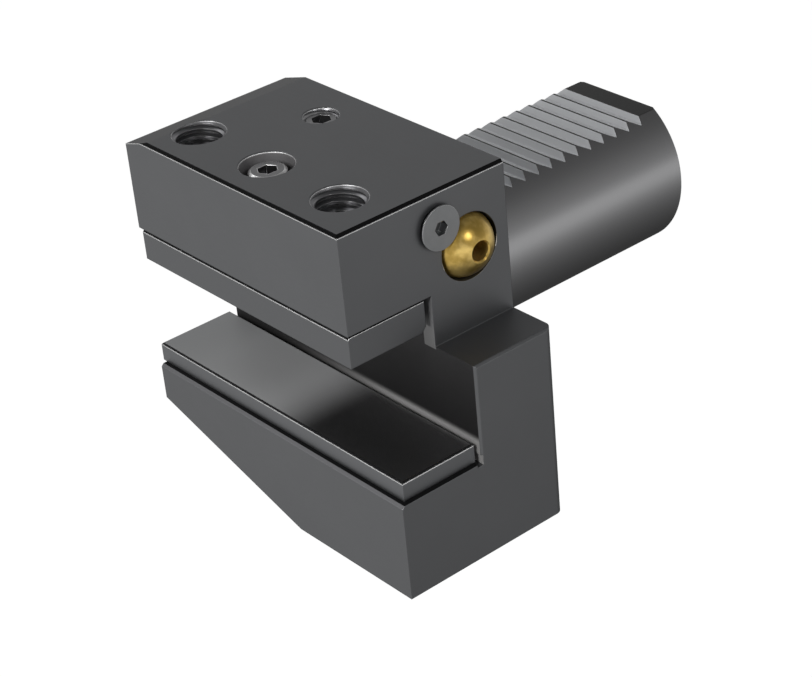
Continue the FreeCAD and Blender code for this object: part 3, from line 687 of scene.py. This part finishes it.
def ground_block(name, top_colour, side_colour, with_light_patch):
    """Ground steel with painted shade on its chamfers and painted highlight lines below them."""
    material, shader = metal(name)
    rise = parts_of(material, "Normal")[2]
    grinding = noise(material, scale=900.0, stretch=(0.5, 12.0, 12.0))
    normal, edge = broken_edges(material, EDGE_BREAK)
    on_top = above(material, rise, LEVEL_FACING)
    colour = mottled(material, grinding, side_colour, PLATE_MOTTLE)
    colour = tint(material, on_top, colour, mottled(material, grinding, top_colour, PLATE_MOTTLE))
    rough = level(material, grinding, *HEAD_ROUGHNESS)
    rough = level(material, on_top, rough, PLATE_ROUGHNESS)
    if with_light_patch:
        light_patch, light_patch_colour = painted_light_top(material, on_top)
        colour = tint(material, light_patch, colour, light_patch_colour)
        rough = level(material, light_patch, rough, LIGHT_PATCH_ROUGHNESS)
        link(material, level(material, light_patch, 1.0, LIGHT_PATCH_METALLIC), shader.inputs["Metallic"])
    colour = tint(material, dark_edges(material, normal, edge, rise), colour, PAINTED_SHADE_COLOUR)
    colour = tint(material, highlight_line(material, normal, edge), colour, WEAR_AND_HIGHLIGHT_COLOUR)
    link(material, colour, shader.inputs["Base Color"])
    link(material, rough, shader.inputs["Roughness"])
    link(material, fine_marks(material, normal, grinding, GRINDING_DEPTH), shader.inputs["Normal"])
    return material


finish_node("support_plate", ground_block("ground_plate", PLATE_COLOUR, PLATE_SIDE_COLOUR, with_light_patch=True))


# Plate screws and dowels
# Two black socket head screws from below hold the plate, and two bright ground pins place it.
# The screws have knurled heads, which sink into counterbores of the lower jaw.

KNURLS = 36
KNURL_SINK = 0.972
HEAD_CHAMFER = 0.0004
CHAMFER_SLOPE = 1.4
SEAT_RIM = 0.00001
SCREW_END_GAP = 0.0001
HEX_OVERRUN = 0.001
SAME_HEIGHT = 0.000001
PLATE_HEAD_HEIGHT = 0.0040
HEAD_DOWN = (180.0, 0.0, 0.0)
SCREW_COLOUR = (0.20, 0.20, 0.205)
BRIGHT_COLOUR = (0.52, 0.52, 0.53)

screw_finish = cut_steel("blackened_screw", SCREW_COLOUR, roughness=0.30)
bright_finish = cut_steel("bright_steel", BRIGHT_COLOUR, roughness=0.22, scale=1200.0,
                          stretch=(1.0, 1.0, 8.0))


def hex_tool(across_flats, depth, top):
    """Hexagon cutter that reaches a depth below a height."""
    bpy.ops.object.select_all(action="DESELECT")
    corner_radius = across_flats / 2 / math.cos(math.radians(30))
    height = top + (HEX_OVERRUN - depth) / 2
    bpy.ops.mesh.primitive_cylinder_add(vertices=6, radius=corner_radius, depth=depth + HEX_OVERRUN,
                                        location=(0.0, 0.0, height))
    return bpy.context.object


def select_flat_face(piece, highest):
    """Select the big flat face at the top or at the bottom of a piece in edit mode."""
    bpy.ops.mesh.select_all(action="DESELECT")
    bpy.ops.mesh.select_mode(type="FACE")
    shape = bmesh.from_edit_mesh(piece.data)
    heights = [face.calc_center_median().z for face in shape.faces]
    wanted = max(heights) if highest else min(heights)
    for face in shape.faces:
        face.select = abs(face.calc_center_median().z - wanted) < SAME_HEIGHT
    bmesh.update_edit_mesh(piece.data)


def narrow_by(factor):
    """Draw the selection in towards the Z axis."""
    bpy.ops.transform.resize(value=(factor, factor, 1.0), center_override=(0.0, 0.0, 0.0))


def pull_face(height):
    """Extrude the selected face along Z."""
    bpy.ops.mesh.extrude_region_move(TRANSFORM_OT_translate={"value": (0.0, 0.0, height)})


def select_knurl_valleys(screw):
    """Select every second upright edge round a head in edit mode."""
    bpy.ops.mesh.select_mode(type="VERT")
    bpy.ops.mesh.select_all(action="DESELECT")
    shape = bmesh.from_edit_mesh(screw.data)
    for vertex in shape.verts:
        turn = math.atan2(vertex.co.y, vertex.co.x) / math.tau * 2 * KNURLS
        vertex.select = round(turn) % 2 == 0
    shape.select_flush_mode()
    bmesh.update_edit_mesh(screw.data)


def cap_screw(head_radius, head_height, shank_radius, shank_length, across_flats, hex_depth):
    """Socket head screw with a knurled head, its head seat at height zero."""
    knurled = head_height - HEAD_CHAMFER
    bpy.ops.object.select_all(action="DESELECT")
    bpy.ops.mesh.primitive_cylinder_add(vertices=2 * KNURLS, radius=head_radius, depth=knurled,
                                        location=(0.0, 0.0, knurled / 2))
    screw = bpy.context.object
    bpy.ops.object.transform_apply(location=True)
    bpy.ops.object.mode_set(mode="EDIT")
    select_knurl_valleys(screw)
    narrow_by(KNURL_SINK)
    select_flat_face(screw, highest=True)
    pull_face(HEAD_CHAMFER)
    narrow_by(1.0 - CHAMFER_SLOPE * HEAD_CHAMFER / head_radius)
    select_flat_face(screw, highest=False)
    pull_face(-SEAT_RIM)
    narrow_by(shank_radius / head_radius)
    pull_face(-shank_length)
    close_mesh()
    return cut_with(screw, hex_tool(across_flats, hex_depth, head_height))


for side in ("left", "right"):
    node_name = side + "_plate_screw"
    low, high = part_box(node_name)
    centre = middle(node_name)
    shank_length = high[2] - low[2] - PLATE_HEAD_HEIGHT - SCREW_END_GAP
    screw = cap_screw(head_radius=0.0035, head_height=PLATE_HEAD_HEIGHT, shank_radius=0.00195,
                      shank_length=shank_length, across_flats=0.0030, hex_depth=0.0020)
    seat = (centre.x, centre.y, low[2] + PLATE_HEAD_HEIGHT)
    set_down(screw, side + "_plate_socket_screw", seat, "holder", screw_finish, HEAD_DOWN)
    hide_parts(node_name)
    finish_node(side + "_plate_dowel", bright_finish)


# Clamping bar
# A hardened bar under the upper jaw that presses the tool down, ground and blackened like the
# plate. It hangs on the carrier screw.

BAR_COLOUR = (0.157, 0.160, 0.165)

finish_node("clamping_bar", ground_block("ground_bar", BAR_COLOUR, BAR_COLOUR, with_light_patch=False))


# Bar carrier screw, washer and spring
# A cap screw in the middle hole hangs the bar on a coil spring, with a black washer between. The
# spring is of bright round wire.

CARRIER_HEAD_HEIGHT = 0.0050
CARRIER_COLOUR = (0.22, 0.22, 0.225)
WIRE_RADIUS = 0.00055
WIRE_SIDES = 16
HALF_TURNS = 7

low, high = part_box("bar_carrier_screw")
centre = middle("bar_carrier_screw")
shank_length = high[2] - low[2] - CARRIER_HEAD_HEIGHT - SCREW_END_GAP
carrier = cap_screw(head_radius=0.00425, head_height=CARRIER_HEAD_HEIGHT, shank_radius=0.00245,
                    shank_length=shank_length, across_flats=0.0040, hex_depth=0.0025)
# The rim of its head is made bright by wear and painted highlight.
carrier_finish = cut_steel("carrier_screw_steel", CARRIER_COLOUR, roughness=0.30, edge=0.00025, wear_and_highlight=0.9)
carrier_seat = (centre.x, centre.y, high[2] - CARRIER_HEAD_HEIGHT)
set_down(carrier, "carrier_socket_screw", carrier_seat, "clamp", carrier_finish)
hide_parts("bar_carrier_screw")
finish_node("spring_washer", screw_finish)


def coil_spring(radius, height):
    """Round wire wound about Z, its lower end centred at height zero."""
    angles = [math.tau * side / WIRE_SIDES for side in range(WIRE_SIDES + 1)]
    draw_outline([
        (radius + WIRE_RADIUS * math.cos(angle), WIRE_RADIUS * math.sin(angle))
        for angle in angles
    ])
    bpy.ops.mesh.remove_doubles(threshold=WELD)
    bpy.ops.object.mode_set(mode="OBJECT")
    coil = bpy.context.object
    winding = coil.modifiers.new("Winding", "SCREW")
    winding.axis = "Z"
    winding.angle = math.pi
    winding.screw_offset = height / HALF_TURNS
    winding.iterations = HALF_TURNS
    winding.steps = STEPS_ROUND // 2
    winding.render_steps = STEPS_ROUND // 2
    bpy.ops.object.modifier_apply(modifier=winding.name)
    bpy.ops.object.mode_set(mode="EDIT")
    bpy.ops.mesh.select_all(action="SELECT")
    bpy.ops.mesh.fill_holes(sides=0)
    return close_mesh()


joints = {joint["name"]: joint for joint in frame["record"]["behaviour"]["joints"]}
low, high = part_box("bar_return_spring")
spring_centre = middle("bar_return_spring")
spring = coil_spring((high[0] - low[0]) / 2 - WIRE_RADIUS, high[2] - low[2] - 2 * WIRE_RADIUS)
spring_foot = (spring_centre.x, spring_centre.y, low[2] + WIRE_RADIUS)
set_down(spring, "coil_spring", spring_foot, "holder", bright_finish)
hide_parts("bar_return_spring")
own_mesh(spring)


# Clamping screws and plugs
# Socket set screws with a rolled thread. The two big ones press the bar down, and the small
# ones close the drilled coolant channels at the top and in the flange face.

CREST_GAP = 0.0001
SET_SCREW_COLOUR = (0.25, 0.25, 0.255)

set_screw_finish = cut_steel("set_screw_steel", SET_SCREW_COLOUR, roughness=0.34)


def set_screw(pitch, radius, length, point_radius, point_length, across_flats, hex_depth, phase):
    """Threaded screw with chamfered ends and a hexagon socket, its point at height zero."""
    lead = THREAD_HEIGHT * pitch
    blank = [
        (0.0, 0.0),
        (point_radius, 0.0),
        (point_radius, point_length),
        (radius, point_length + radius - point_radius),
        (radius, length - lead),
        (radius - lead, length),
        (0.0, length),
    ]
    rod = threaded_rod(pitch, radius, CREST_GAP, -pitch, length + pitch, phase)
    cut_with(rod, turned(blank), "INTERSECT")
    return cut_with(rod, hex_tool(across_flats, hex_depth, length))


def socket_plug(length, phase):
    """Short set screw without a point."""
    return set_screw(PLUG_PITCH, PLUG_RADIUS - SCREW_CLEARANCE, length, point_radius=0.0034, point_length=0.0,
                     across_flats=0.0040, hex_depth=0.0025, phase=phase)


for side in ("left", "right"):
    node_name = side + "_clamping_screw"
    low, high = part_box(node_name)
    centre = middle(node_name)
    phase = ((THREAD_FOOT - low[2]) / BIG_PITCH + 0.5) % 1.0
    screw = set_screw(BIG_PITCH, BIG_RADIUS - SCREW_CLEARANCE, high[2] - low[2], point_radius=0.00425,
                      point_length=0.0016, across_flats=0.0060, hex_depth=0.0060, phase=phase)
    point = (centre.x, centre.y, low[2])
    set_down(screw, side + "_set_screw", point, side + "_screw", set_screw_finish)
    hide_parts(node_name)

top_plug = socket_plug(plug_high[2] - plug_low[2], phase=0.5)
plug_foot = (plug_centre.x, plug_centre.y, plug_low[2])
set_down(top_plug, "top_socket_plug", plug_foot, "holder", set_screw_finish)
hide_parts("top_channel_plug")

low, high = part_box("spare_inlet_plug")
centre = middle("spare_inlet_plug")
rear_plug = socket_plug(high[1] - low[1], phase=0.0)
inner_end = (centre.x, low[1], centre.z)
set_down(rear_plug, "rear_socket_plug", inner_end, "holder", screw_finish, (-90.0, 0.0, 0.0))
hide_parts("spare_inlet_plug")


# Seals
# Round nitrile rings in recesses round the shank, round the inlet and behind the ball. They are
# moulded in two halves, so each has a thin parting line round its outside.

SEAL_RADIUS = 0.0009
PARTING_LINE = 0.00005
MIDDLE_BAND = 0.00001
SEAL_COLOURS = ((0.012, 0.012, 0.012), (0.028, 0.028, 0.028))
SEAL_ROUGHNESS = (0.40, 0.60)


def nitrile():
    material = bpy.data.materials.new("nitrile_rubber")
    material.use_nodes = True
    shader = material.node_tree.nodes["Principled BSDF"]
    skin = noise(material, scale=4000.0, detail=2.0)
    link(material, tint(material, skin, *SEAL_COLOURS), shader.inputs["Base Color"])
    link(material, level(material, skin, *SEAL_ROUGHNESS), shader.inputs["Roughness"])
    return material


nitrile_finish = nitrile()


def seal_ring(node_name, name, body, turn):
    """Ring with a parting line round its outside, in place of a plain node."""
    low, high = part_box(node_name)
    reach = (high[2] - low[2]) / 2 - SEAL_RADIUS
    bpy.ops.object.select_all(action="DESELECT")
    bpy.ops.mesh.primitive_torus_add(major_segments=96, minor_segments=24, major_radius=reach,
                                     minor_radius=SEAL_RADIUS)
    ring = bpy.context.object
    bpy.ops.object.mode_set(mode="EDIT")
    bpy.ops.mesh.select_mode(type="EDGE")
    bpy.ops.mesh.select_all(action="DESELECT")
    shape = bmesh.from_edit_mesh(ring.data)
    for edge in shape.edges:
        ends = [vertex.co for vertex in edge.verts]
        edge.select = all(abs(end.z) < MIDDLE_BAND and end.to_2d().length > reach for end in ends)
    bmesh.update_edit_mesh(ring.data)
    bpy.ops.mesh.bevel(offset=PARTING_LINE, segments=1)
    bpy.ops.mesh.extrude_region_shrink_fatten(TRANSFORM_OT_shrink_fatten={"value": PARTING_LINE / 3})
    close_mesh()
    set_down(ring, name, middle(node_name), body, nitrile_finish, turn, smooth=60.0)
    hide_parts(node_name)


seal_ring("inlet_seal_ring", "inlet_o_ring", "holder", (90.0, 0.0, 0.0))
seal_ring("shank_seal_ring", "shank_o_ring", "holder", (90.0, 0.0, 0.0))
seal_ring("nozzle_seal_ring", "nozzle_o_ring", "nozzle_spin_ring", (0.0, 90.0, 0.0))


# Nozzle ball
# A turned brass ball in a pocket at the head's right end, with the coolant jet drilled through
# it. It is a little stained by coolant.

BALL_RADIUS = 0.0075
JET_RADIUS = 0.0022
FEED_RADIUS = 0.0025
JET_DEPTH = 0.0060
BRASS_DARK = (0.46, 0.30, 0.065)
BRASS_LIGHT = (0.92, 0.66, 0.21)
BRASS_METALLIC = 0.82
BRASS_ROUGHNESS = (0.26, 0.36)
PATCH_RANGE = (0.35, 0.65)
SHADOW_RANGE = (0.55, 0.75)
SHADOW_DEPTH = 0.35
JET_EDGE_BREAK = 0.0001
TURNING_DEPTH = 0.000002


def brass():
    material, shader = metal("turned_brass")
    patches = noise(material, scale=260.0, detail=6.0)
    rings = noise(material, scale=1500.0, stretch=(9.0, 0.8, 0.8))
    shadow = noise(material, scale=90.0, detail=2.0)
    normal = broken_edges(material, JET_EDGE_BREAK)[0]
    colour = tint(material, ramp(material, patches, *PATCH_RANGE), BRASS_DARK, BRASS_LIGHT)
    shaded = ramp(material, shadow, *SHADOW_RANGE, high=SHADOW_DEPTH)
    link(material, tint(material, shaded, colour, BRASS_DARK), shader.inputs["Base Color"])
    shader.inputs["Metallic"].default_value = BRASS_METALLIC
    link(material, level(material, patches, *BRASS_ROUGHNESS), shader.inputs["Roughness"])
    link(material, fine_marks(material, normal, rings, TURNING_DEPTH), shader.inputs["Normal"])
    return material


def jet_ball():
    """Ball with the jet along Z: a wide feed from below, and a narrow jet with a cone in its mouth."""
    bpy.ops.object.select_all(action="DESELECT")
    bpy.ops.mesh.primitive_uv_sphere_add(segments=128, ring_count=64, radius=BALL_RADIUS)
    ball = bpy.context.object
    mouth = math.sqrt(BALL_RADIUS ** 2 - FEED_RADIUS ** 2)
    lip = FEED_RADIUS - JET_RADIUS
    step = BALL_RADIUS - JET_DEPTH
    drill = turned([
        (0.0, 2 * BALL_RADIUS),
        (FEED_RADIUS, 2 * BALL_RADIUS),
        (FEED_RADIUS, mouth),
        (JET_RADIUS, mouth - lip),
        (JET_RADIUS, step),
        (FEED_RADIUS, step),
        (FEED_RADIUS, -2 * BALL_RADIUS),
        (0.0, -2 * BALL_RADIUS),
    ])
    return cut_with(ball, drill)


ball = jet_ball()
ball_place = joints["nozzle_tilt"]["pos_m"]
set_down(ball, "jet_ball", ball_place, "nozzle", brass(), (0.0, 90.0, 0.0))
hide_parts("nozzle_ball")


# Nozzle grip screw
# A countersunk socket screw of black steel beside the ball. Its wide head overlaps the ball and
# holds it in its pocket.

GRIP_COLOUR = (0.26, 0.265, 0.27)
GRIP_HEAD_RADIUS = 0.0050
GRIP_RIM = 0.0003
GRIP_SHANK_RADIUS = 0.00245
GRIP_EDGE = 0.0001

low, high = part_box("nozzle_grip_screw")
centre = middle("nozzle_grip_screw")
grip_length = high[0] - low[0]


def countersunk_screw():
    """Screw with a 90 degree head, its flat face at height zero."""
    screw = turned([
        (0.0, -grip_length),
        (GRIP_SHANK_RADIUS, -grip_length),
        (GRIP_SHANK_RADIUS, GRIP_SHANK_RADIUS - GRIP_HEAD_RADIUS - GRIP_RIM),
        (GRIP_HEAD_RADIUS, -GRIP_RIM),
        (GRIP_HEAD_RADIUS, -GRIP_EDGE),
        (GRIP_HEAD_RADIUS - GRIP_EDGE, 0.0),
        (0.0, 0.0),
    ], steps=64)
    return cut_with(screw, hex_tool(across_flats=0.0030, depth=0.0020, top=0.0))


grip = countersunk_screw()
grip_face = (high[0], centre.y, centre.z)
grip_finish = cut_steel("grip_screw_steel", GRIP_COLOUR, roughness=0.33)
set_down(grip, "grip_socket_screw", grip_face, "grip_screw", grip_finish, (0.0, 90.0, 0.0))
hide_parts("nozzle_grip_screw")


# Floor, sky and lamps
# A pale floor well below the part, which is held by its shank, and soft studio light: a bright
# horizon, a big soft panel at the back left and a dark ceiling.

FLOOR_LEVEL = -0.45
FLOOR_SIZE = 40.0
FLOOR_CENTRE = (-0.10, 0.20, FLOOR_LEVEL)
FLOOR_COLOUR = (0.12, 0.12, 0.12)
FAR_GLOW = 0.45
FAR_REACH = (0.45, 1.20)
RIGHT_GLOW = 0.93
RIGHT_REACH = (-0.25, 1.75)
FRONT_GLOW = 0.79
FRONT_REACH = (-0.05, -0.45)
PAPER_GLOW = 0.965
SKY_STEPS = [(0.0, 0.70), (0.09, 0.52), (0.32, 0.35), (0.56, 0.20), (1.0, 0.10)]
PANEL_DIRECTION = (-0.655, 0.562, 0.505)
PANEL_GLOW = 0.22
PANEL_EDGE = 42.0
PANEL_CORE = 20.0


def pale_paper():
    """Paper that is white to the camera, and that metal mirrors as a glow with a painted shadow under the
    part.
    """
    material = bpy.data.materials.new("pale_paper")
    material.use_nodes = True
    material.node_tree.nodes.clear()
    rays = add_node(material, "ShaderNodeLightPath")
    spot = add_node(material, "ShaderNodeTexCoord")
    away = add_node(material, "ShaderNodeVectorMath", operation="DISTANCE")
    link(material, spot.outputs["Object"], away.inputs[0])
    feed(material, away.inputs[1], FLOOR_CENTRE)
    across, along, _ = split(material, spot.outputs["Object"])
    far = ramp(material, away.outputs["Value"], *FAR_REACH, high=FAR_GLOW)
    right = ramp(material, across, *RIGHT_REACH, high=RIGHT_GLOW)
    front = ramp(material, along, *FRONT_REACH, high=FRONT_GLOW)
    mirrored = both(material, rays.outputs["Is Glossy Ray"], either(material, far, right, front))
    seen = calc(material, "MULTIPLY", rays.outputs["Is Camera Ray"], PAPER_GLOW)
    glow = add_node(material, "ShaderNodeEmission")
    link(material, either(material, seen, mirrored), glow.inputs["Strength"])
    matte = add_node(material, "ShaderNodeBsdfDiffuse")
    feed(material, matte.inputs["Color"], FLOOR_COLOUR)
    total = add_node(material, "ShaderNodeAddShader")
    link(material, glow.outputs["Emission"], total.inputs[0])
    link(material, matte.outputs["BSDF"], total.inputs[1])
    surface = add_node(material, "ShaderNodeOutputMaterial")
    link(material, total.outputs["Shader"], surface.inputs["Surface"])
    return material


bpy.ops.object.select_all(action="DESELECT")
bpy.ops.mesh.primitive_plane_add(size=FLOOR_SIZE, location=(0.0, 0.0, FLOOR_LEVEL))
floor = bpy.context.object
bpy.ops.object.transform_apply(location=True)
floor.name = "studio_floor"
floor.data.materials.append(pale_paper())
floor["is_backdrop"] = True


def studio_sky():
    """White to the camera, and a bright horizon with one soft panel for everything else."""
    world = bpy.data.worlds.new("studio_sky")
    bpy.context.scene.world = world
    world.use_nodes = True
    direction = add_node(world, "ShaderNodeTexCoord")
    height = split(world, direction.outputs["Generated"])[2]
    steps = add_node(world, "ShaderNodeValToRGB")
    link(world, height, steps.inputs["Fac"])
    while len(steps.color_ramp.elements) < len(SKY_STEPS):
        steps.color_ramp.elements.new(0.5)
    for step, (place, grey) in zip(steps.color_ramp.elements, SKY_STEPS):
        step.position = place
        step.color = (grey, grey, grey, 1.0)
    towards = add_node(world, "ShaderNodeVectorMath", operation="DOT_PRODUCT")
    link(world, direction.outputs["Generated"], towards.inputs[0])
    feed(world, towards.inputs[1], PANEL_DIRECTION)
    panel_edge = math.cos(math.radians(PANEL_EDGE))
    panel_core = math.cos(math.radians(PANEL_CORE))
    panel = ramp(world, towards.outputs["Value"], panel_edge, panel_core, high=PANEL_GLOW)
    glow = calc(world, "ADD", steps.outputs["Color"], panel)
    rays = add_node(world, "ShaderNodeLightPath")
    background = world.node_tree.nodes["Background"]
    link(world, level(world, rays.outputs["Is Camera Ray"], glow, 1.0), background.inputs["Strength"])
    background.inputs["Color"].default_value = (1.0, 1.0, 1.0, 1.0)


studio_sky()


def softbox(name, place, target, side, power):
    """Square lamp that faces a point."""
    data = bpy.data.lights.new(name, "AREA")
    data.shape = "SQUARE"
    data.size = side
    data.energy = power
    lamp = bpy.data.objects.new(name, data)
    bpy.context.scene.collection.objects.link(lamp)
    lamp.location = place
    aim = Vector(target) - Vector(place)
    lamp.rotation_euler = aim.to_track_quat("-Z", "Y").to_euler()


softbox("front_softbox", place=(0.25, -1.3, 0.75), target=(0.0, 0.0, 0.0), side=0.5, power=12.0)
softbox("hole_softbox", place=(-0.83, -0.16, 0.86), target=(0.0, -0.03, 0.02), side=0.4, power=1.2)
softbox("side_softbox", place=(1.23, 0.03, 0.86), target=(0.0, 0.0, 0.0), side=0.4, power=4.0)


# Camera
# A long lens from the front right and above, as in the photograph, turned a little about its
# own axis.

LENS_LENGTH = 100.53
SENSOR_WIDTH = 36.0
NEAREST = 0.01
CAMERA_PLACE = (0.34572, -0.27395, 0.23543)
CAMERA_TURN = (59.701, 4.849, 49.378)

lens = bpy.data.cameras.new("photo_camera")
lens.lens = LENS_LENGTH
lens.sensor_width = SENSOR_WIDTH
lens.clip_start = NEAREST
camera = bpy.data.objects.new("photo_camera", lens)
bpy.context.scene.collection.objects.link(camera)
camera.location = CAMERA_PLACE
camera.rotation_euler = [math.radians(angle) for angle in CAMERA_TURN]
bpy.context.scene.camera = camera
bpy.context.scene.view_settings.view_transform = "Standard"

# Overall size after the pieces above are added

low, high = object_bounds()
